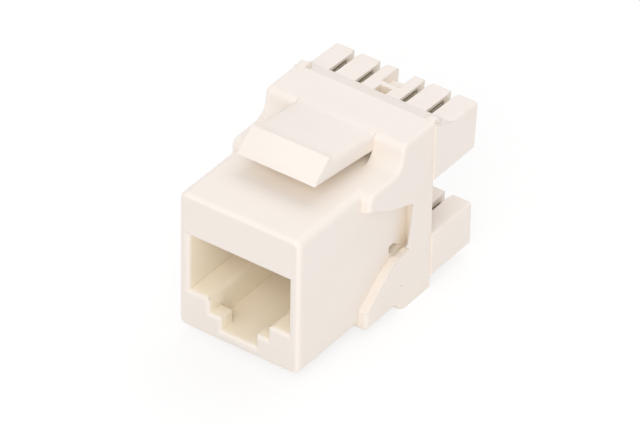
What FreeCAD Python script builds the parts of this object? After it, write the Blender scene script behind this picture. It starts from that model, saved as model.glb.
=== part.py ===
import FreeCAD, Part
import math
import os

# Keystone jack for 8-way modular plugs, with two rows of punch-down contacts at the rear.
# Millimetres. X across, Y from the front face to the rear, Z up.
# Heights are counted from the underside of the nose; the last step moves the origin
# to the middle of the plug port on the front face.

V = FreeCAD.Vector

# ---- nose, the part that shows in the wall plate
nose_width = 14.5
nose_height = 16.1
nose_corner = 0.85
nose_front_edge = 0.6

# ---- plug port: cavity, two steps of the latch slot below it
port_width = 12.0
port_floor = 4.6
port_roof = 11.2
tab_slot_width = 7.1
tab_slot_step = 2.85
tab_notch_width = 4.2
tab_slot_floor = 1.3
tab_lip_depth = 1.2
ledge_edge = 0.6
lip_edge = 0.25
port_rim_radius = 0.5
port_depth = 12.4

# ---- rear body behind the wall plate
body_step = 1.15
body_front = 10.1
wing_corner = 1.0
body_rear = 20.9
body_side_edge_share = 0.15
foot_front = 15.0
foot_slope_length = 1.0
foot_drop = 1.0
hump_rise = 2.95
hump_front = 15.75
hump_lean = 0.35
hump_crest_share = 0.27
hump_foot_share = 0.575

# ---- stepped side recess that lets the jack tilt into its opening
# (each row: Y and Z on the floor of the recess, then Y and Z at the body's outer face)
recess_corners = ((9.0, 1.85, 9.0, 1.95),
                  (10.1, 1.95, 10.1, 1.95),
                  (13.9, 4.80, 14.2, 5.20),
                  (15.4, 5.45, 15.6, 5.95),
                  (18.2, 5.45, 16.8, 6.75),
                  (18.1, 10.3, 17.55, 11.2),
                  (13.7, 12.3, 13.7, 12.55),
                  (10.5, 13.8, 10.3, 14.4),
                  (9.0, 14.2, 9.0, 14.4))

# ---- drop-shaped moulding slot through the recess wall: Y, Z and corner radius
side_hole_corners = ((17.1, 5.95, 0), (15.95, 6.8, 0.3), (15.2, 6.75, 0.3),
                     (15.25, 5.8, 0.3), (16.2, 5.72, 0.3))

# ---- inner cavities
fit_gap = 0.1
carrier_width = 10.2
carrier_height = 3.4
carrier_front = 3.2
flange_front = 14.0
cavity_wall = 0.85
cavity_floor = 1.0
cavity_roof_wall = 0.6
board_thickness = 1.0
socket_depth = 2.3

# ---- panel latch: a springing arm over the nose
latch_width = 9.4
latch_root = 17.2
latch_root_gap = 0.83
latch_tip = 6.0
latch_tip_gap = 2.18
latch_lip_y = 6.3
latch_lip_gap = 2.85
latch_lip_radius = 0.7
latch_ridge_y = 8.6
latch_ridge_gap = 4.7
latch_ridge_radius = 0.3
latch_catch_drop = 0.8
latch_wedge_edge = 0.25
latch_edge_share = 0.24
latch_side_gap = 0.03

# ---- punch-down housing: two rows of fingers
row_stand_out = 0.2
row_length = 7.4
lower_row_setback = 0.5
upper_low = 12.1
upper_front_drop = 0.25
upper_top_knee = 17.75
upper_top_rear = 17.5
upper_rear_lean = 0.4
finger_length = 4.8
lower_low = 0.4
lower_top = 5.5
row_edge = 0.3
outer_finger_width = 2.38
wire_slot_pitch = 3.17
wire_slot_width = 0.7
wire_slot_depth = 4.75
mouth_lead_width = 0.25
mouth_lead_depth = 0.9
centre_gap_width = 2.1
centre_gap_depth = 0.9
centre_gap_length = 3.0
centre_notch_length = 1.0
pocket_width = 1.4
pocket_setback = 4.85
pocket_length = 1.15
pocket_depth = 1.2
plug_depth = 0.9
waist_length = 1.4
ear_width = 1.3
ear_length = 1.2
ear_height = 1.3

# ---- spring contacts in the port
contact_count = 8
contact_pitch = 1.02
contact_width = 0.45
contact_thickness = 0.3
contact_run_height = 0.7
contact_tail_jog = 1.0
contact_bend_y = 5.2
contact_bend_radius = 0.9
contact_end_y = 11.4
contact_end_drop = 3.8
contact_groove = 0.6
contact_tail_length = 0.2

# ---- punch-down contacts
fork_thickness = 0.5
fork_width = 2.1
fork_upper_depth = 0.55
fork_lower_depth = 1.05
fork_setback = 1.7
fork_slit_length = 3.7
fork_slit_width = 0.3
fork_lead = 0.35
fork_tail_width = 0.6
fork_gap = 0.1
fork_side_wall = 0.28
board_hole_radius = 0.42
fork_head_room = 0.65

# ---- sizes that follow from those above
recess_floor = nose_width / 2
body_width = nose_width + 2 * body_step
body_half = body_width / 2
hump_height = nose_height + hump_rise
hump_crest_radius = hump_rise * hump_crest_share
hump_foot_radius = hump_rise * hump_foot_share
body_side_edge = hump_rise * body_side_edge_share
latch_root_low = nose_height + latch_root_gap
latch_tip_low = nose_height + latch_tip_gap
latch_lip_z = nose_height + latch_lip_gap
latch_ridge_z = nose_height + latch_ridge_gap
latch_root_height = hump_height - latch_root_low
latch_edge_radius = latch_root_height * latch_edge_share
upper_top_front = hump_height - upper_front_drop
cavity_width = nose_width - 2 * cavity_wall
row_width = body_width + 2 * row_stand_out
outer_slot = row_width / 2 - outer_finger_width - wire_slot_width / 2
wire_slot_centres = (outer_slot - wire_slot_pitch, outer_slot)
plug_width = 2 * (outer_slot + fork_width / 2 + fork_gap + fork_side_wall)
socket_width = plug_width + 2 * fit_gap
port_centre_z = (port_floor + port_roof) / 2
carrier_roof = port_roof + carrier_height
cavity_roof = nose_height - cavity_roof_wall
socket_front = body_rear - socket_depth
plug_front = body_rear - plug_depth
waist_rear = body_rear + waist_length
board_front = socket_front
board_rear = board_front + board_thickness
row_rear = body_rear + row_length
lower_row_rear = row_rear - lower_row_setback
upper_knee_y = row_rear - finger_length
wire_slot_front = row_rear - wire_slot_depth
centre_gap_front = row_rear - centre_gap_length
centre_web_rear = row_rear - centre_notch_length
pocket_front = row_rear - pocket_setback
contact_run_z = port_roof + contact_run_height
contact_end_z = port_roof - contact_end_drop
fork_upper_z = upper_top_rear - fork_upper_depth
fork_lower_z = lower_top - fork_lower_depth
socket_roof = fork_upper_z + fork_head_room
fork_base_front = plug_front + fork_gap * 2
fork_tip = row_rear - fork_setback
fork_slit_front = fork_tip - fork_slit_length
latch_hinge = V(0, latch_root, latch_root_low)


def box(x_low, x_high, y_low, y_high, z_low, z_high):
    size = V(x_high - x_low, y_high - y_low, z_high - z_low)
    return Part.makeBox(size.x, size.y, size.z, V(x_low, y_low, z_low))


def wide_box(width, y_low, y_high, z_low, z_high):
    """A box centred on the middle plane."""
    return box(-width / 2, width / 2, y_low, y_high, z_low, z_high)


def outline(corners, place):
    """A face through corners (a, b, radius), with a tangent arc at each rounded one."""
    turns = []
    for i, (a, b, radius) in enumerate(corners):
        here = V(a, b, 0)
        back = V(*corners[i - 1][:2], 0) - here
        ahead = V(*corners[(i + 1) % len(corners)][:2], 0) - here
        back.normalize()
        ahead.normalize()
        if radius == 0:
            turns.append((here, here, None))
            continue
        half = back.getAngle(ahead) / 2
        middle = back + ahead
        middle.normalize()
        reach = radius / math.tan(half)
        crown = here + middle * (radius / math.sin(half) - radius)
        turns.append((here + back * reach, here + ahead * reach, crown))
    edges = []
    for i, (start, stop, crown) in enumerate(turns):
        if crown is not None:
            edges.append(Part.Arc(place(start), place(crown), place(stop)).toShape())
        following = turns[(i + 1) % len(turns)][0]
        if stop.distanceToPoint(following) > 1e-6:
            edges.append(Part.LineSegment(place(stop), place(following)).toShape())
    return Part.Face(Part.Wire(edges))


def side_solid(corners, x_low, x_high):
    """Corners (y, z, radius) drawn from the side and carried across X."""
    face = outline(corners, lambda p: V(x_low, p.x, p.y))
    return face.extrude(V(x_high - x_low, 0, 0))


def front_solid(corners, y_low, y_high):
    """Corners (x, z, radius) drawn from the front and carried along Y."""
    face = outline(corners, lambda p: V(p.x, y_low, p.y))
    return face.extrude(V(0, y_high - y_low, 0))


def top_solid(corners, z_low, z_high):
    """Corners (x, y, radius) drawn from above and carried up Z."""
    face = outline(corners, lambda p: V(p.x, p.y, z_low))
    return face.extrude(V(0, 0, z_high - z_low))


def mirrored(shape):
    return shape.mirror(V(0, 0, 0), V(1, 0, 0))


def edges_where(shape, test):
    """The edges whose every point passes the test."""
    found = []
    for edge in shape.Edges:
        points = edge.discretize(5)
        if all(test(point) for point in points):
            found.append(edge)
    return found


def near(value, target):
    return abs(value - target) < 1e-4


def contact_positions():
    """X of each spring contact, with whether its tail is in the higher row."""
    for i in range(contact_count):
        yield (i - (contact_count - 1) / 2) * contact_pitch, i % 2 == 1


def fork_positions():
    """X and Z of each punch-down contact: the upper row, then the lower."""
    for z in (fork_upper_z, fork_lower_z):
        for x in [-c for c in reversed(wire_slot_centres)] + list(wire_slot_centres):
            yield x, z


def nose():
    half = nose_width / 2
    corners = [(-half, 0, nose_corner), (half, 0, nose_corner),
               (half, nose_height, nose_corner), (-half, nose_height, nose_corner)]
    solid = front_solid(corners, 0, body_front + wing_corner + 0.2)
    rim = edges_where(solid, lambda p: near(p.y, 0))
    return solid.makeFillet(nose_front_edge, rim)


def body():
    foot_rear = foot_front + foot_slope_length
    corners = [(body_front, 0, 0),
               (foot_front, 0, 0),
               (foot_rear, -foot_drop, 0),
               (body_rear, -foot_drop, 0),
               (body_rear, hump_height, 0),
               (hump_front, hump_height, hump_crest_radius),
               (hump_front - hump_lean, nose_height, hump_foot_radius),
               (body_front, nose_height, wing_corner)]
    solid = side_solid(corners, -body_half, body_half)
    rim = edges_where(solid, lambda p: near(abs(p.x), body_half) and p.y < body_rear - 1e-3)
    return solid.makeFillet(body_side_edge, rim)


def side_recess():
    """The stepped pocket on the right side, open to the front; its walls lean as they go out."""
    sections = []
    for share in (0.0, 1.2):
        points = []
        for y_in, z_in, y_out, z_out in recess_corners:
            points.append(V(recess_floor + share * body_step,
                            y_in + share * (y_out - y_in), z_in + share * (z_out - z_in)))
        sections.append(Part.makePolygon(points + points[:1]))
    return Part.makeLoft(sections, True, True)


def side_hole():
    return side_solid(side_hole_corners, cavity_width / 2 - 0.5, body_half)


def latch_well():
    """The space under the latch arm and beside its root, in the front of the hump."""
    return wide_box(latch_width + 2 * latch_side_gap, body_front - 1, latch_root,
                    nose_height, hump_height + 1)


def port_cavity():
    """The plug's cavity, the slot for its tab and the bay for the contact carrier."""
    half = port_width / 2
    slot = tab_slot_width / 2
    notch = tab_notch_width / 2
    shelf = [(half, port_roof, 0), (half, port_floor, 0), (slot, port_floor, ledge_edge)]
    deep = shelf + [(slot, tab_slot_floor, 0)]
    lipped = shelf + [(slot, tab_slot_step, 0), (notch, tab_slot_step, lip_edge),
                      (notch, tab_slot_floor, 0)]
    sections = []
    for right in (deep, lipped):
        left = [(-x, z, radius) for x, z, radius in reversed(right)]
        sections.append(right + left)
    cavity = front_solid(sections[0], tab_lip_depth, flange_front)
    mouth = front_solid(sections[1], -1, tab_lip_depth + 0.01)
    carrier_bay = wide_box(carrier_width, carrier_front, flange_front, port_roof, carrier_roof)
    return cavity.fuse(mouth).fuse(carrier_bay)


def port_rim():
    """The rounded rim of the port's mouth, as rings that close in from the front face."""
    half = port_width / 2
    slot = tab_slot_width / 2
    notch = tab_notch_width / 2
    rings = []
    for step in range(-1, 4):
        turn = math.radians(30 * max(step, 0))
        out = port_rim_radius * (1 - math.sin(turn))
        depth = port_rim_radius * (1 - math.cos(turn)) if step >= 0 else -0.5
        right = [(half + out, port_roof + out), (half + out, port_floor - out),
                 (slot + out, port_floor - out), (slot + out, tab_slot_step - out),
                 (notch + out, tab_slot_step - out), (notch + out, tab_slot_floor - out)]
        left = [(-x, z) for x, z in reversed(right)]
        points = [V(x, depth, z) for x, z in right + left]
        rings.append(Part.makePolygon(points + points[:1]))
    return Part.makeLoft(rings, True, True)


def rear_cavity():
    """The bay for the carrier's flange and the board, and the socket for the rear housing."""
    bay = wide_box(cavity_width, flange_front, socket_front, cavity_floor, cavity_roof)
    socket = wide_box(socket_width, socket_front, body_rear + 1, cavity_floor, socket_roof)
    return bay.fuse(socket)


def front_housing():
    solid = nose().fuse(body())
    hole = side_hole()
    cuts = [side_recess(), mirrored(side_recess()), latch_well(),
            port_cavity(), port_rim(), rear_cavity(), hole, mirrored(hole)]
    for cutter in cuts:
        solid = solid.cut(cutter)
    return solid.removeSplitter()


def panel_latch():
    """The arm with rounded upper edges, and the wedge with its ridge across the free end."""
    half = latch_width / 2
    catch_z = latch_ridge_z - latch_catch_drop
    slope = (hump_height - catch_z) / (hump_front - latch_ridge_y)
    arm_tip = latch_ridge_y - 0.2
    fall = (latch_tip_low - latch_root_low) / (latch_root - latch_tip)
    arm_tip_low = latch_tip_low - fall * (arm_tip - latch_tip)
    arm = side_solid([(latch_root, latch_root_low, 0),
                      (latch_root, hump_height, 0),
                      (hump_front, hump_height, 0),
                      (arm_tip, catch_z + slope * (arm_tip - latch_ridge_y), 0),
                      (arm_tip, arm_tip_low, 0)], -half, half)
    upper = edges_where(arm, lambda p: near(abs(p.x), half) and p.z > hump_height - 0.01)
    arm = arm.makeFillet(latch_edge_radius, upper)
    root = wide_box(latch_width, hump_front + hump_crest_radius / 2, latch_root,
                    latch_root_low + latch_root_height / 2, hump_height)
    wedge = side_solid([(latch_ridge_y + 0.1, arm_tip_low + 0.1, 0),
                        (latch_ridge_y + 0.1, catch_z, 0),
                        (latch_ridge_y, latch_ridge_z, latch_ridge_radius),
                        (latch_lip_y, latch_lip_z, latch_lip_radius),
                        (latch_tip, latch_tip_low, 0),
                        (arm_tip, arm_tip_low, 0)], -half, half)
    ramp = edges_where(wedge, lambda p: near(abs(p.x), half) and p.z > catch_z + 0.01)
    ramp += edges_where(wedge, lambda p: near(abs(p.x), half) and p.y < latch_lip_y + 0.6
                        and p.z > latch_tip_low - 0.01)
    wedge = wedge.makeFillet(latch_wedge_edge, ramp)
    return arm.fuse(root).fuse(wedge).removeSplitter()


def row_block(corners):
    half = row_width / 2
    solid = side_solid(corners, -half, half)
    rim = edges_where(solid, lambda p: near(abs(p.x), half) and p.y > body_rear + 1e-3)
    return solid.makeFillet(row_edge, rim)


def ear():
    """A small snap ear at the front corner of the upper row, level with the hump."""
    outer = row_width / 2
    rear = body_rear + ear_length
    low = hump_height - ear_height
    corners = [(body_rear, low, 0), (rear, low, 0),
               (rear, hump_height, 0.4), (body_rear, hump_height, 0.2)]
    return side_solid(corners, outer - ear_width, outer - row_edge)


def wire_slot(x, rear, low, high):
    """A slot with a flared mouth, through one row from above to below."""
    half = wire_slot_width / 2
    mouth = half + mouth_lead_width
    lead_front = rear - mouth_lead_depth
    corners = [(x - half, wire_slot_front, 0), (x + half, wire_slot_front, 0),
               (x + half, lead_front, 0), (x + mouth, rear, 0), (x + mouth, rear + 1, 0),
               (x - mouth, rear + 1, 0), (x - mouth, rear, 0), (x - half, lead_front, 0)]
    return top_solid(corners, low - 1, high + 1)


def idc_housing():
    """The rear moulding: a plug that fills the socket and two rows of fingers."""
    plug = wide_box(plug_width, plug_front, body_rear, cavity_floor + fit_gap, socket_roof - fit_gap)
    waist = wide_box(plug_width, body_rear, waist_rear, lower_low, upper_low + 1)
    upper = row_block([(body_rear, upper_low, 0), (row_rear - upper_rear_lean, upper_low, row_edge),
                       (row_rear, upper_top_rear, row_edge), (upper_knee_y, upper_top_knee, 0),
                       (body_rear, upper_top_front, 0)])
    lower = row_block([(body_rear, lower_low, 0), (lower_row_rear, lower_low, row_edge),
                       (lower_row_rear, lower_top, row_edge), (body_rear, lower_top, 0)])
    solid = plug.fuse(waist).fuse(upper).fuse(lower).fuse(ear()).fuse(mirrored(ear()))
    for centre in wire_slot_centres:
        for x in (-centre, centre):
            solid = solid.cut(wire_slot(x, row_rear, lower_top, upper_top_front))
            solid = solid.cut(wire_slot(x, lower_row_rear, lower_low, lower_top))
    gap_floor = upper_top_rear - centre_gap_depth
    gap = wide_box(centre_gap_width, centre_gap_front, row_rear + 1, gap_floor, upper_top_front)
    notch = wide_box(centre_gap_width, centre_web_rear, row_rear + 1, lower_low - 1, upper_top_front)
    pocket = wide_box(pocket_width, pocket_front, pocket_front + pocket_length,
                      upper_top_rear - pocket_depth, upper_top_front)
    solid = solid.cut(gap).cut(notch).cut(pocket)
    for x, z in fork_positions():
        solid = solid.cut(fork_pocket(x, z))
    return solid.removeSplitter()


def fork_pocket(x, z):
    half = fork_width / 2 + fork_gap
    thick = fork_thickness / 2 + fork_gap
    return box(x - half, x + half, plug_front - 1, fork_tip + fork_gap, z - thick, z + thick)


def idc_contact(x, z):
    """A flat two-pronged fork with a tail for the board, cut from sheet."""
    half = fork_width / 2
    slit = fork_slit_width / 2
    tail = fork_tail_width / 2
    corners = [(-tail, board_front + fit_gap, 0), (tail, board_front + fit_gap, 0),
               (tail, fork_base_front, 0), (half, fork_base_front, 0.2),
               (half, fork_tip, 0.3), (slit + fork_lead, fork_tip, 0),
               (slit, fork_tip - 2 * fork_lead, 0), (slit, fork_slit_front, 0),
               (-slit, fork_slit_front, 0), (-slit, fork_tip - 2 * fork_lead, 0),
               (-slit - fork_lead, fork_tip, 0), (-half, fork_tip, 0.3),
               (-half, fork_base_front, 0.2), (-tail, fork_base_front, 0)]
    solid = top_solid(corners, -fork_thickness / 2, fork_thickness / 2)
    solid.translate(V(x, 0, z))
    return solid


def board_hole(x, z):
    """A drilled hole as a twelve-sided prism around its circle, which keeps the facets few."""
    sides = 12
    reach = board_hole_radius / math.cos(math.pi / sides)
    start = board_front - board_thickness / 2
    rim = []
    for i in range(sides):
        turn = 2 * math.pi * i / sides
        rim.append(V(x + reach * math.sin(turn), start, z + reach * math.cos(turn)))
    return Part.Face(Part.makePolygon(rim + rim[:1])).extrude(V(0, 2 * board_thickness, 0))


def circuit_board():
    solid = wide_box(plug_width, board_front, board_rear,
                     cavity_floor + fit_gap, socket_roof - fit_gap)
    places = list(fork_positions())
    for x, raised in contact_positions():
        places.append((x, contact_run_z + (contact_tail_jog if raised else 0)))
    for x, z in places:
        solid = solid.cut(board_hole(x, z))
    return solid


def contact_carrier():
    """The insert: a grooved tongue above the port and a flange that backs onto the board."""
    tongue = wide_box(carrier_width - 2 * fit_gap, carrier_front + fit_gap, flange_front,
                      port_roof + fit_gap, carrier_roof - fit_gap)
    stop = wide_box(port_width - 2 * fit_gap, port_depth, flange_front,
                    port_floor + fit_gap, port_roof + fit_gap)
    flange = wide_box(cavity_width - 2 * fit_gap, flange_front, board_front,
                      cavity_floor + fit_gap, cavity_roof - fit_gap)
    solid = tongue.fuse(stop).fuse(flange)
    half = contact_groove / 2
    groove_top = contact_run_z + half
    for x, raised in contact_positions():
        top = groove_top + (contact_tail_jog if raised else 0)
        groove = box(x - half, x + half, carrier_front, flange_front, port_roof, groove_top)
        window = box(x - half, x + half, port_depth - 1, board_front + 1, contact_run_z - half, top)
        solid = solid.cut(groove).cut(window)
    return solid.removeSplitter()


def jack_contact(x, raised):
    """A sprung strip: tail through the board, forward run, bend, and back down into the port."""
    run = contact_run_z
    tail_z = run + (contact_tail_jog if raised else 0)
    centre = V(x, contact_bend_y, run - contact_bend_radius)
    reach = V(x, contact_end_y, contact_end_z) - centre
    # the free leg leaves the bend along the tangent from its end point
    spread = math.acos(contact_bend_radius / reach.Length)
    angle = math.atan2(reach.z, reach.y) - spread
    leave = centre + V(0, math.cos(angle), math.sin(angle)) * contact_bend_radius
    half_turn = (math.pi / 2 + angle + 2 * math.pi) / 2
    crown = centre + V(0, math.cos(half_turn), math.sin(half_turn)) * contact_bend_radius
    points = [V(x, board_rear + contact_tail_length, tail_z)]
    if raised:
        points += [V(x, board_front - 0.2, tail_z), V(x, board_front - 1.4, run)]
    points.append(V(x, contact_bend_y, run))
    edges = [Part.LineSegment(a, b).toShape() for a, b in zip(points, points[1:])]
    edges.append(Part.Arc(points[-1], crown, leave).toShape())
    edges.append(Part.LineSegment(leave, V(x, contact_end_y, contact_end_z)).toShape())
    path = Part.Wire(edges)
    side = V(contact_width / 2, 0, 0)
    rise = V(0, 0, contact_thickness / 2)
    start = points[0]
    section = Part.makePolygon([start - side - rise, start + side - rise, start + side + rise,
                                start - side + rise, start - side - rise])
    return path.makePipeShell([section], True, True, 1)


def all_parts():
    parts = {"front_housing": front_housing(),
             "panel_latch": panel_latch(),
             "idc_housing": idc_housing(),
             "contact_carrier": contact_carrier(),
             "circuit_board": circuit_board()}
    for i, (x, raised) in enumerate(contact_positions()):
        parts["jack_contact_%d" % (i + 1)] = jack_contact(x, raised)
    for i, (x, z) in enumerate(fork_positions()):
        parts["idc_contact_%d" % (i + 1)] = idc_contact(x, z)
    return parts


os.makedirs("parts", exist_ok=True)
for name, shape in all_parts().items():
    shape.translate(V(0, 0, -port_centre_z))
    shape.exportStep("parts/" + name + ".step")
    print(name, len(shape.Solids), shape.isValid(), round(shape.Volume, 2))
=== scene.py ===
import math

import bmesh
import bpy
from mathutils import Matrix, Vector


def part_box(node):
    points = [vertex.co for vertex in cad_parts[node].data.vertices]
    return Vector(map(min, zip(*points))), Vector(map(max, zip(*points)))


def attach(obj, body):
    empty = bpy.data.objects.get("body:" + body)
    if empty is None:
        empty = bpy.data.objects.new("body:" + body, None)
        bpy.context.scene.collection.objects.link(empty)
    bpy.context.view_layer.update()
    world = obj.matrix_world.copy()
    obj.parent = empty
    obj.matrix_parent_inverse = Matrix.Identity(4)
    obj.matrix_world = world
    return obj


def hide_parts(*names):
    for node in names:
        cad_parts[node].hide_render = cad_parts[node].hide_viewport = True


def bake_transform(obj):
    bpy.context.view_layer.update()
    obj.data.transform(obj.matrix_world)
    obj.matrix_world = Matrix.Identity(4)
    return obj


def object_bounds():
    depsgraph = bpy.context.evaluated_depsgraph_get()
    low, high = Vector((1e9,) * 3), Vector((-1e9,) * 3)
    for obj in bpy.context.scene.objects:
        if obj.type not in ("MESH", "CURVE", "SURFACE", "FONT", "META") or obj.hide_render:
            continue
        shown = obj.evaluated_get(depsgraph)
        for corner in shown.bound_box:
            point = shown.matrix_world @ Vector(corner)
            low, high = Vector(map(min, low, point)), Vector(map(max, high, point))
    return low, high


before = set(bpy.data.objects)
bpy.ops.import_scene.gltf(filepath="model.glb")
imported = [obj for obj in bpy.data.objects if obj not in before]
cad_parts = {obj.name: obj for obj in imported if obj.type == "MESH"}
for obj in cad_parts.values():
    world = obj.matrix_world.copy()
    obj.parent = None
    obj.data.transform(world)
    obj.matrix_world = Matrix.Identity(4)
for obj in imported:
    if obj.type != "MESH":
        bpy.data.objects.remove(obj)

cad_box = [list(corner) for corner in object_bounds()]
scene = bpy.context.scene
scene.view_settings.view_transform = "Standard"

# ---- Front housing
# The nose, the plug port and the body behind the wall plate are one moulding in a warm
# white ABS. The tool is satin outside, so the plastic has a fine grain, soft edges and
# the faint cloudiness of a resin that lets some light in. Here that light is painted into
# the colour, lighter and warmer in the hollows and the port.


class Socket:
    """A shader value that grows its own Math nodes from Python arithmetic."""

    def __init__(self, finish, output):
        self.finish = finish
        self.output = output

    def math(self, operation, *values, clamp=False):
        return self.finish.node("ShaderNodeMath", {"operation": operation, "use_clamp": clamp},
                                dict(enumerate(values)))

    def __add__(self, other):
        return self.math("ADD", self, other)

    __radd__ = __add__

    def __mul__(self, other):
        return self.math("MULTIPLY", self, other)

    __rmul__ = __mul__

    def __sub__(self, other):
        return self.math("SUBTRACT", self, other)

    def __rsub__(self, other):
        return self.math("SUBTRACT", other, self)

    def __truediv__(self, other):
        return self.math("DIVIDE", self, other)

    def __abs__(self):
        return self.math("ABSOLUTE", self)

    def clamped(self):
        return self.math("ADD", self, 0.0, clamp=True)


class Finish:
    """A named material and the nodes in it."""

    def __init__(self, name):
        self.data = bpy.data.materials.new(name)
        self.data.use_nodes = True
        self.tree = self.data.node_tree
        self.shader = self.tree.nodes["Principled BSDF"]

    def node(self, kind, settings=None, inputs=None, output=0):
        made = self.tree.nodes.new(kind)
        for name, value in (settings or {}).items():
            if name == "stops":
                ramp = made.color_ramp
                while len(ramp.elements) < len(value):
                    ramp.elements.new(0.5)
                for element, (place, colour) in zip(ramp.elements, value):
                    element.position = place
                    element.color = colour
            else:
                setattr(made, name, value)
        for name, value in (inputs or {}).items():
            self.feed(made.inputs[name], value)
        return Socket(self, made.outputs[output])

    def feed(self, target, value):
        if isinstance(value, Socket):
            self.tree.links.new(value.output, target)
        else:
            target.default_value = value

    def place(self, stretch=(1.0, 1.0, 1.0)):
        """Object coordinates in metres, stretched along an axis for drawn or woven marks."""
        where = self.node("ShaderNodeTexCoord", output="Object")
        return self.node("ShaderNodeMapping", {}, {"Vector": where, "Scale": stretch})

    def axes(self):
        split = self.node("ShaderNodeSeparateXYZ", {}, {"Vector": self.place()}).output.node
        return [Socket(self, output) for output in split.outputs]

    def noise(self, scale, detail=2.0, roughness=0.5, stretch=(1.0, 1.0, 1.0)):
        return self.node("ShaderNodeTexNoise", {}, {"Vector": self.place(stretch), "Scale": scale,
                                                    "Detail": detail, "Roughness": roughness})

    def blend(self, factor, first, second):
        """One colour passing into another."""
        return self.node("ShaderNodeMix", {"data_type": "RGBA"},
                         {0: factor, 6: first, 7: second}, output=2)

    def bump(self, height, strength, depth, normal=None):
        inputs = {"Strength": strength, "Distance": depth, "Height": height}
        if normal is not None:
            inputs["Normal"] = normal
        return self.node("ShaderNodeBump", {}, inputs)

    def set(self, **values):
        for name, value in values.items():
            self.feed(self.shader.inputs[name.replace("_", " ")], value)
        return self


def rgb(red, green, blue):
    """A colour as seen on a screen, 0 to 255, turned to linear light."""
    out = []
    for level in (red, green, blue):
        level /= 255
        out.append(level / 12.92 if level < 0.04045 else ((level + 0.055) / 1.055) ** 2.4)
    return (*out, 1.0)


def dress(name, finish):
    """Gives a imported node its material."""
    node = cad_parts[name]
    node.data.materials.clear()
    node.data.materials.append(finish.data)


MM = 0.001
housing_high = Vector(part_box("front_housing")[1])
seam_y = housing_high.y
hump_top = housing_high.z
resin_light = rgb(238, 230, 223)
resin_deep = rgb(233, 224, 216)
# The next three colours are painted light in the hollows, painted light in the port and painted
# shade on the front face.
painted_hollow_light = rgb(246, 235, 219)
painted_port_light = rgb(255, 245, 226)
painted_face_shade = rgb(222, 214, 207)
painted_light_reach = 3.5 * MM
painted_light_gain = 1.25
edge_radius = 0.15 * MM
grain_depth = 0.02 * MM
seam_clear, seam_fade = 0.1 * MM, 0.125 * MM
port_start, port_start_fade = 0.1 * MM, 0.5 * MM
port_half, port_top, port_foot = 6.6 * MM, 5.5 * MM, -7.2 * MM
port_side_fade = 0.2 * MM
face_depth, face_fade = 0.02 * MM, 0.08 * MM
face_shade_share = 0.8
dark_dot_centre = Vector((housing_high.x, 15.9 * MM, -5.8 * MM))
dark_dot_radius = 0.06 * MM
dark_dot_colour = rgb(120, 100, 84)
dark_dot_tone, dark_dot_dip = 0.55, 4.0


def ivory_resin(name, front=False, soft_edges=True):
    """The warm white ABS: cloudy by a hair, grained, and painted lighter and warmer in its
    hollows as painted light.

    The front housing gets painted light in its port, painted shade on its front face and a small
    dark dot with a shallow dip.
    """
    finish = Finish(name)
    x, y, z = finish.axes()
    cloud = finish.noise(180.0, 3.0)
    blotch = finish.noise(650.0, 4.0, 0.6)
    colour = finish.blend((cloud * 0.7 + blotch * 0.3).clamped(), resin_light, resin_deep)
    grain = finish.noise(5200.0, 3.0, 0.6) * 0.7 + finish.noise(1400.0, 2.0) * 0.3
    # Painted light: where ambient occlusion finds hollows, the colour turns lighter and warmer,
    # standing in for light scattered through and between the plastic.
    openness_for_painted_light = finish.node("ShaderNodeAmbientOcclusion", {"samples": 8},
                           {"Distance": painted_light_reach}, output="AO")
    colour = finish.blend((openness_for_painted_light * painted_light_gain).clamped(), painted_hollow_light, colour)
    if front:
        # Painted light: inside the port the colour turns lighter and warmer, standing in for
        # light that comes in through the thin walls.
        painted_port_mask = (((y - port_start) / port_start_fade).clamped()
                   * ((port_half - abs(x)) / port_side_fade).clamped()
                   * ((port_top - z) / port_side_fade).clamped()
                   * ((z - port_foot) / port_side_fade).clamped())
        colour = finish.blend(painted_port_mask, colour, painted_port_light)
        # Painted shade: the front face, which the front lamps light strongly, is greyed in its
        # colour.
        painted_shade_mask = (1.0 - (y - face_depth) / face_fade).clamped()
        colour = finish.blend(painted_shade_mask * face_shade_share, colour, painted_face_shade)
        # A small dark dot with a shallow dip on the side of the body.
        reach = finish.node("ShaderNodeVectorMath", {"operation": "DISTANCE"},
                            {0: finish.place(), 1: dark_dot_centre}, output="Value")
        dot = (1.0 - (reach - dark_dot_radius) / dark_dot_radius).clamped()
        colour = finish.blend(dot * dark_dot_tone, colour, dark_dot_colour)
        grain = grain - dot * dark_dot_dip
    normal = None
    if soft_edges:
        rounded = finish.node("ShaderNodeBevel", {"samples": 6}, {"Radius": edge_radius})
        plain = finish.node("ShaderNodeNewGeometry", output="Normal")
        clear = ((abs(y - seam_y) - seam_clear) / seam_fade).clamped()
        normal = finish.node("ShaderNodeMix", {"data_type": "VECTOR"},
                             {0: clear, 4: plain, 5: rounded}, output=1)
    finish.set(Base_Color=colour, Roughness=0.42 + blotch * 0.16,
               Normal=finish.bump(grain, 0.25, grain_depth, normal), IOR=1.46)
    return finish


housing_resin = ivory_resin("ivory_housing", front=True)
dress("front_housing", housing_resin)

# ---- Port lips
# Two lips moulded with the housing narrow the way for the plug's tab at the foot of the
# port. Each block here stands 0.01 mm proud of the solid's lip, so that no seam shows, and
# runs further in, with rounded edges at its top and back.

lip_inner, lip_outer = 2.09 * MM, 3.62 * MM
lip_front, lip_back = 0.8 * MM, 2.1 * MM
lip_foot, lip_top = -6.65 * MM, -5.04 * MM
lip_round = 0.25 * MM


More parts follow.
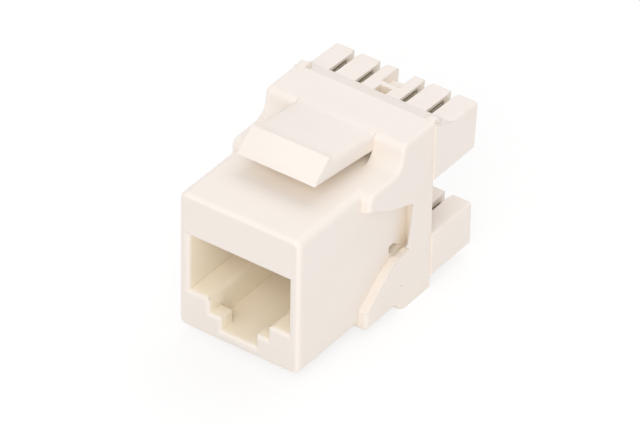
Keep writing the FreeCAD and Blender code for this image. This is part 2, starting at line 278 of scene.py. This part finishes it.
def lip_block(shape, hand):
    """One lip, on the left (-1) or right (1) of the port's foot."""
    corners = [shape.verts.new((hand * x, y, z)) for z in (lip_foot, lip_top)
               for x, y in ((lip_inner, lip_front), (lip_outer, lip_front),
                            (lip_outer, lip_back), (lip_inner, lip_back))]
    for face in ((3, 2, 1, 0), (4, 5, 6, 7), (0, 1, 5, 4), (1, 2, 6, 5), (2, 3, 7, 6),
                 (3, 0, 4, 7)):
        shape.faces.new([corners[i] for i in face])
    inner_top, back_top, inner_back = ((4, 7), (7, 6), (7, 3))
    round_edges = [shape.edges.get((corners[i], corners[j]))
                   for i, j in (inner_top, back_top, inner_back)]
    bmesh.ops.bevel(shape, geom=round_edges, offset=lip_round, segments=4, profile=0.5,
                    affect="EDGES")


def finished(name, shape):
    """A built shape as an object, shaded smooth but for its hard edges."""
    bmesh.ops.recalc_face_normals(shape, faces=shape.faces)
    mesh = bpy.data.meshes.new(name)
    shape.to_mesh(mesh)
    shape.free()
    mesh.polygons.foreach_set("use_smooth", [True] * len(mesh.polygons))
    mesh.set_sharp_from_angle(angle=math.radians(35))
    made = bpy.data.objects.new(name, mesh)
    scene.collection.objects.link(made)
    return made


lips = bmesh.new()
for hand in (-1, 1):
    lip_block(lips, hand)
port_lips = finished("port_lips", lips)
port_lips.data.materials.append(housing_resin.data)
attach(port_lips, "jack")

# ---- Panel latch
# A springing arm of the same moulding that snaps behind the wall plate, with a wedge and
# a ridge across its free end. It has no pivot: the root is solid with the hump and bends
# there, so the arm is one smooth piece that runs on into the top of the hump.

arm_low, arm_high = (Vector(corner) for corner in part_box("panel_latch"))
root_y = arm_high.y
tip_y = arm_low.y
root_low = arm_low.z
arm_half = arm_high.x
bend_y = root_y - 1.45 * MM
cover_y = root_y - 0.6 * MM
cover_end = root_y + 1.9 * MM
cover_lift = 0.01 * MM
cover_low = hump_top - 0.8 * MM
ridge_y = root_y - 8.6 * MM
ridge_z = arm_high.z + 0.27 * MM
catch_z = ridge_z - 0.8 * MM
wedge_lip = (tip_y + 0.3 * MM, root_low + 2.02 * MM)
tip_low = root_low + 1.35 * MM
top_edge = 0.5 * MM
wedge_edge = 0.27 * MM
low_edge = 0.1 * MM
least_edge = 0.03 * MM
root_spread = 0.035 * MM
edge_fade = 0.8 * MM
cover_spread = 0.5 * MM
cover_taper = 0.45 * MM
cover_drop = 0.03 * MM


def rounded_run(corners, steps=6):
    """Points through corners (y, z, corner radius, radius along the side edge)."""
    run = []
    for i, (y, z, radius, side) in enumerate(corners):
        here = Vector((y, z))
        if radius == 0:
            run.append((here, side))
            continue
        back = (Vector(corners[i - 1][:2]) - here).normalized()
        ahead = (Vector(corners[i + 1][:2]) - here).normalized()
        half = back.angle(ahead) / 2
        reach = radius / math.tan(half)
        centre = here + (back + ahead).normalized() * (radius / math.sin(half))
        start = here + back * reach - centre
        stop = here + ahead * reach - centre
        for step in range(steps + 1):
            spoke = start.lerp(stop, step / steps).normalized() * radius
            run.append((centre + spoke, side))
    return run


def divided(run, longest):
    """The same closed run with points at least this close."""
    out = []
    for (a, side_a), (b, side_b) in zip(run, run[1:] + run[:1]):
        parts = max(1, math.ceil((b - a).length / longest))
        for part in range(parts):
            share = part / parts
            out.append((a.lerp(b, share), side_a + (side_b - side_a) * share))
    return out


def side_shape(point, side):
    """Half width of the arm at a point of its profile, and the rounding of its side edge
    across the arm and inwards."""
    on_hump = point.x > cover_y and point.y > cover_low - cover_lift
    if on_hump:
        return arm_half + cover_spread, cover_taper, cover_drop
    if point.x > bend_y - MM:
        fade = min(1.0, max(0.0, (root_y - edge_fade - point.x) / edge_fade))
        edge = max(least_edge, side * fade)
        return arm_half + root_spread, edge, edge
    return arm_half, max(least_edge, side), max(least_edge, side)


def across(name, run, turns=(90, 60, 30, 0)):
    """A closed piece with this profile from side to side, its side edges rounded."""
    count = len(run)
    inward = []
    for i, (point, side) in enumerate(run):
        before = (point - run[i - 1][0]).normalized()
        after = (run[(i + 1) % count][0] - point).normalized()
        first = Vector((-before.y, before.x))
        second = Vector((-after.y, after.x))
        inward.append((first + second) / (1 + first.dot(second)))
    points = []
    for hand in (-1, 1):
        for turn in (turns if hand < 0 else reversed(turns)):
            angle = math.radians(turn)
            for (point, side), normal in zip(run, inward):
                half, sideways, inwards = side_shape(point, side)
                x = half - sideways * (1 - math.sin(angle))
                moved = point + normal * inwards * (1 - math.cos(angle))
                points.append((hand * x, moved.x, moved.y))
    faces = []
    rings = 2 * len(turns)
    for ring in range(rings - 1):
        for i in range(count):
            j = (i + 1) % count
            faces.append((ring * count + i, (ring + 1) * count + i,
                          (ring + 1) * count + j, ring * count + j))
    faces.append(tuple(range(count)))
    faces.append(tuple(reversed(range((rings - 1) * count, rings * count))))
    shape = bmesh.new()
    corners = [shape.verts.new(point) for point in points]
    for face in faces:
        shape.faces.new([corners[i] for i in face])
    shape.normal_update()
    caps = [face for face in shape.faces if len(face.verts) > 4]
    bmesh.ops.triangulate(shape, faces=caps)
    return finished(name, shape)


latch_profile = rounded_run([
    (cover_end, cover_low, 0, 0),
    (cover_end, hump_top - cover_drop, 0, 0),
    (cover_end - 0.8 * MM, hump_top + cover_lift, 0, 0),
    (bend_y, hump_top + cover_lift, 5 * MM, top_edge),
    (ridge_y + 0.08 * MM, catch_z, 0.12 * MM, top_edge),
    (ridge_y, ridge_z, 0.3 * MM, wedge_edge),
    (*wedge_lip, 0.7 * MM, wedge_edge),
    (tip_y, tip_low, 0, low_edge),
    (root_y - 0.02 * MM, root_low, 0, low_edge),
    (root_y, cover_low, 0, 0)])
latch_arm = across("latch_arm", divided(latch_profile, 0.3 * MM))
latch_arm.data.materials.append(ivory_resin("ivory_latch", soft_edges=False).data)
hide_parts("panel_latch")
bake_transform(latch_arm)

# ---- Rear housing
# A second moulding of the same resin plugs into the back of the body. Its two rows of
# stiff fingers guide the eight wires down onto the punch-down contacts between them.

dress("idc_housing", ivory_resin("ivory_rows"))

# ---- Contact carrier
# An insert of unfilled nylon, a shade more yellow than the housing, slides in from behind.
# It keeps the spring contacts apart in grooves and closes the back of the port.

carrier = Finish("nylon_carrier")
milk = carrier.noise(260.0, 4.0, 0.6)
flow = carrier.noise(90.0, 2.0, 0.5, stretch=(1.0, 0.25, 1.0))
carrier.set(Base_Color=carrier.blend((milk * 0.5 + flow * 0.5).clamped(),
                                     rgb(246, 237, 222), rgb(236, 226, 208)),
            Roughness=0.38 + milk * 0.2,
            Normal=carrier.bump(carrier.noise(4200.0, 3.0), 0.2, grain_depth), IOR=1.53)
dress("contact_carrier", carrier)

# ---- Circuit board
# Glass-epoxy laminate 1 mm thick, drilled for the sixteen tails. Green resist covers the
# woven glass and the crossing tracks that join each spring contact to its wire.

weave_scale = 900.0
track_level, track_steepness = 0.72, 12.0

board = Finish("board_laminate")
warp = board.node("ShaderNodeTexWave", {"bands_direction": "X"},
                  {"Vector": board.place(), "Scale": weave_scale, "Distortion": 0.4})
weft = board.node("ShaderNodeTexWave", {"bands_direction": "Z"},
                  {"Vector": board.place(), "Scale": weave_scale, "Distortion": 0.4})
tracks = board.node("ShaderNodeTexWave", {"bands_direction": "DIAGONAL"},
                    {"Vector": board.place(), "Scale": 190.0, "Distortion": 3.0,
                     "Detail": 1.0, "Detail Scale": 0.6})
raised_track = ((tracks - track_level) * track_steepness).clamped()
resist = board.blend((warp * weft).clamped() * 0.5, rgb(34, 92, 58), rgb(58, 116, 74))
board.set(Base_Color=board.blend(raised_track * 0.6, resist, rgb(96, 142, 82)),
          Roughness=0.35 + warp * weft * 0.2, IOR=1.5,
          Normal=board.bump(raised_track + warp * weft * 0.3, 0.4, 0.00003))
dress("circuit_board", board)

# ---- Spring contacts
# Eight strips of drawn phosphor bronze, gold flashed over nickel, bent back over the
# front of the carrier so that their free legs press on the plug's blades.

gold = Finish("gold_plate")
drawn = gold.noise(1500.0, 3.0, 0.6, stretch=(6.0, 0.4, 1.0))
tarnish = gold.noise(420.0, 3.0)
gold.set(Base_Color=gold.blend(tarnish, rgb(236, 196, 118), rgb(214, 168, 92)),
         Metallic=1.0, Roughness=0.2 + drawn * 0.18,
         Normal=gold.bump(drawn, 0.25, 0.000006))
for number in range(1, 9):
    dress("jack_contact_%d" % number, gold)

# ---- Punch-down contacts
# Eight flat forks blanked from bronze strip and tinned. The slit between the two prongs
# cuts through a wire's insulation and grips the copper.

tin = Finish("tinned_bronze")
spangle = tin.node("ShaderNodeTexVoronoi", {}, {"Vector": tin.place(), "Scale": 2600.0})
dull = tin.noise(700.0, 3.0, 0.6)
burnish = tin.noise(1800.0, 2.0, 0.5, stretch=(1.0, 0.2, 1.0))
tin.set(Base_Color=tin.blend((spangle * 0.4 + dull * 0.5).clamped(),
                             rgb(206, 198, 182), rgb(168, 156, 138)),
        Metallic=1.0, Roughness=0.36 + burnish * 0.24,
        Normal=tin.bump(burnish * 0.6 + spangle * 0.4, 0.3, 0.000008))
for number in range(1, 9):
    dress("idc_contact_%d" % number, tin)

# ---- Floor, light and camera
# The jack stands on a sheet of white paper in a light tent: even light from all round,
# soft lamps in front, low and high, one to the right of them and one above the back.


def flat_square(name, half, height):
    mesh = bpy.data.meshes.new(name)
    mesh.from_pydata([(-half, -half, height), (half, -half, height),
                      (half, half, height), (-half, half, height)], [], [(0, 1, 2, 3)])
    made = bpy.data.objects.new(name, mesh)
    scene.collection.objects.link(made)
    return made


floor_half = 3.0
floor_gap = 0.02 * MM
floor_white = 0.75
floor = flat_square("floor", floor_half, cad_box[0][2] - floor_gap)
paper = Finish("floor_paper")
fibre = paper.noise(300.0, 3.0)
paper.set(Base_Color=paper.blend(fibre, rgb(251, 250, 249), rgb(249, 248, 247)), Roughness=0.9)
ray = paper.node("ShaderNodeLightPath").output.node
straight = sum(Socket(paper, ray.outputs[name]) for name in
               ("Is Camera Ray", "Is Glossy Ray", "Is Transmission Ray")).clamped()
white = paper.node("ShaderNodeEmission", {}, {"Color": (1.0, 1.0, 1.0, 1.0), "Strength": 1.0})
lit = Socket(paper, paper.shader.outputs[0])
paper.feed(paper.tree.nodes["Material Output"].inputs["Surface"],
           paper.node("ShaderNodeMixShader", {}, {0: straight * floor_white, 1: lit, 2: white}))
floor.data.materials.append(paper.data)

world = bpy.data.worlds.new("light_tent")
scene.world = world
world.use_nodes = True
tent = world.node_tree.nodes["Background"]
tent.inputs["Color"].default_value = (1.0, 1.0, 1.0, 1.0)
tent.inputs["Strength"].default_value = 0.74


def soft_lamp(name, azimuth, elevation, size, power, distance=0.7):
    """A square lamp aimed at the jack, seen from the front at these angles in degrees."""
    turn, rise = math.radians(azimuth), math.radians(elevation)
    away = Vector((math.sin(turn) * math.cos(rise), -math.cos(turn) * math.cos(rise),
                   math.sin(rise)))
    data = bpy.data.lights.new(name, "AREA")
    data.shape = "SQUARE"
    data.size = size
    data.energy = power
    lamp = bpy.data.objects.new(name, data)
    scene.collection.objects.link(lamp)
    lamp.location = away * distance
    lamp.rotation_euler = (-away).to_track_quat("-Z", "Y").to_euler()


soft_lamp("front_lamp", azimuth=0, elevation=42, size=0.4, power=0.5)
soft_lamp("low_lamp", azimuth=12, elevation=18, size=0.4, power=0.3)
soft_lamp("side_lamp", azimuth=32, elevation=38, size=0.3, power=1.2)
soft_lamp("back_lamp", azimuth=180, elevation=62, size=0.5, power=1.0)

azimuth = math.radians(35.102)
elevation = math.radians(36.462)
roll = math.radians(1.092)
camera_aim = Vector((1.778, 11.080, 2.984)) * MM
camera_distance = 588.16 * MM
back = Vector((math.sin(azimuth) * math.cos(elevation),
               -math.cos(azimuth) * math.cos(elevation), math.sin(elevation)))
right = back.cross(Vector((0, 0, -1))).normalized()
down = (-back).cross(right)
turned_right = math.cos(roll) * right - math.sin(roll) * down
turned_down = math.sin(roll) * right + math.cos(roll) * down
camera_data = bpy.data.cameras.new("camera")
camera_data.lens = 337.5
camera_data.sensor_width = 36.0
camera = bpy.data.objects.new("camera", camera_data)
scene.collection.objects.link(camera)
camera.matrix_world = Matrix((turned_right, -turned_down, back)).transposed().to_4x4()
camera.location = camera_aim + back * camera_distance
scene.camera = camera
